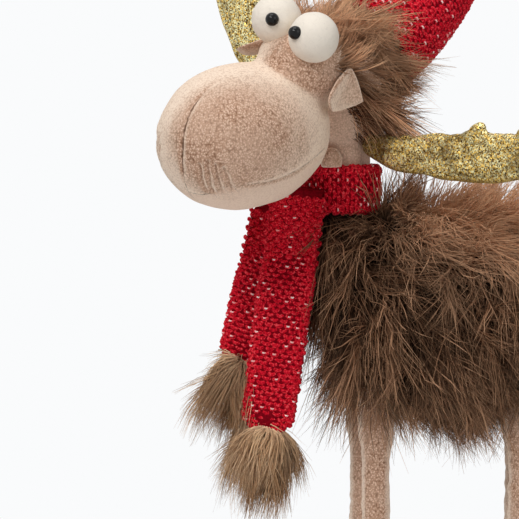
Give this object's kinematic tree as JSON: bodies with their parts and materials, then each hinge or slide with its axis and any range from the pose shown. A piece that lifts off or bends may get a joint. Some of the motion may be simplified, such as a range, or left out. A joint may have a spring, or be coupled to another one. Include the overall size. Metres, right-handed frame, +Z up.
{
  "type": "plush moose",
  "caption": "Standing long-legged plush moose with a big velour muzzle, gold antlers, knitted hat and a knitted scarf with fur pompoms.",
  "frame": {"origin": "on the floor, under the middle of the part's bounding box", "axes": "+X forward (the way the body faces), +Y to the animal's left, +Z up along the greatest extent"},
  "size_m": [0.2358, 0.19, 0.4302],
  "materials": {
    "velour": "short beige velour",
    "body_fur": "long dark brown plush fur",
    "hair_fur": "long light brown plush fur",
    "pom_fur": "long tan plush fur",
    "red_knit": "red knit with metallic thread",
    "gold_cloth": "gold glitter cloth",
    "white_felt": "white felted ball",
    "black_bead": "polished black",
    "steel_wire": "drawn steel wire",
    "steel_weight": "turned steel disc"
  },
  "bodies": {
    "body": {"torso": "body_fur", "neck_wire": "steel_wire", "scarf_collar": "red_knit", "front_leg_wire": "steel_wire", "rear_leg_wire": "steel_wire", "left_front_leg": "velour", "left_front_hoof": "velour", "left_front_weight": "steel_weight", "right_front_leg": "velour", "right_front_hoof": "velour", "right_front_weight": "steel_weight", "left_rear_leg": "velour", "left_rear_hoof": "velour", "left_rear_weight": "steel_weight", "right_rear_leg": "velour", "right_rear_hoof": "velour", "right_rear_weight": "steel_weight"},
    "head": {"head": "velour", "muzzle": "velour", "hair": "hair_fur", "throat_bell": "velour", "hat": "red_knit", "left_eye": "white_felt", "right_eye": "white_felt", "left_pupil": "black_bead", "right_pupil": "black_bead"},
    "left_ear_part": {"left_ear": "velour"},
    "right_ear_part": {"right_ear": "velour"},
    "left_antler_part": {"left_antler": "gold_cloth"},
    "right_antler_part": {"right_antler": "gold_cloth"},
    "hat_pompom_part": {"hat_pompom": "pom_fur"},
    "left_scarf_end": {"left_scarf_tail": "red_knit", "left_scarf_pompom": "pom_fur"},
    "right_scarf_end": {"right_scarf_tail": "red_knit", "right_scarf_pompom": "pom_fur"},
    "tail_part": {"tail": "body_fur"}
  },
  "joints": [
    {"name": "head_turn", "type": "hinge", "parent": "body", "child": "head", "pos_m": [0.02335, -0.01887, 0.2758], "axis": [0, 0, 1], "range_deg": [-15, 15], "stiffness_Nm_per_rad": 0.4},
    {"name": "left_ear_flap", "type": "hinge", "parent": "head", "child": "left_ear_part", "pos_m": [0.02113, 0.02935, 0.33572], "axis": [0.7273, 0.6783, -0.1045], "range_deg": [0, 20], "stiffness_Nm_per_rad": 0.002},
    {"name": "right_ear_flap", "type": "hinge", "parent": "head", "child": "right_ear_part", "pos_m": [0.05367, -0.00286, 0.35318], "axis": [-0.7273, -0.6783, 0.1045], "range_deg": [0, 20], "stiffness_Nm_per_rad": 0.002},
    {"name": "left_antler_flex", "type": "hinge", "parent": "head", "child": "left_antler_part", "pos_m": [0.00999, -0.00275, 0.29869], "axis": [0.7273, 0.6783, -0.1045], "range_deg": [-10, 10], "stiffness_Nm_per_rad": 0.2},
    {"name": "right_antler_flex", "type": "hinge", "parent": "head", "child": "right_antler_part", "pos_m": [0.04187, -0.0343, 0.3158], "axis": [-0.7273, -0.6783, 0.1045], "range_deg": [-10, 10], "stiffness_Nm_per_rad": 0.2},
    {"name": "hat_pompom_swing", "type": "hinge", "parent": "head", "child": "hat_pompom_part", "pos_m": [-0.10099, -0.0777, 0.37288], "axis": [0, 1, 0], "range_deg": [-25, 25]},
    {"name": "left_scarf_swing", "type": "hinge", "parent": "body", "child": "left_scarf_end", "pos_m": [0.04535, -0.00187, 0.279], "axis": [0.9397, -0.342, 0], "range_deg": [0, 25]},
    {"name": "right_scarf_swing", "type": "hinge", "parent": "body", "child": "right_scarf_end", "pos_m": [0.05335, -0.01417, 0.27], "axis": [-0.9397, 0.342, 0], "range_deg": [0, 25]},
    {"name": "tail_wag", "type": "hinge", "parent": "body", "child": "tail_part", "pos_m": [-0.09205, -0.01887, 0.236], "axis": [0, 0, 1], "range_deg": [-15, 15], "stiffness_Nm_per_rad": 0.002}
  ]
}
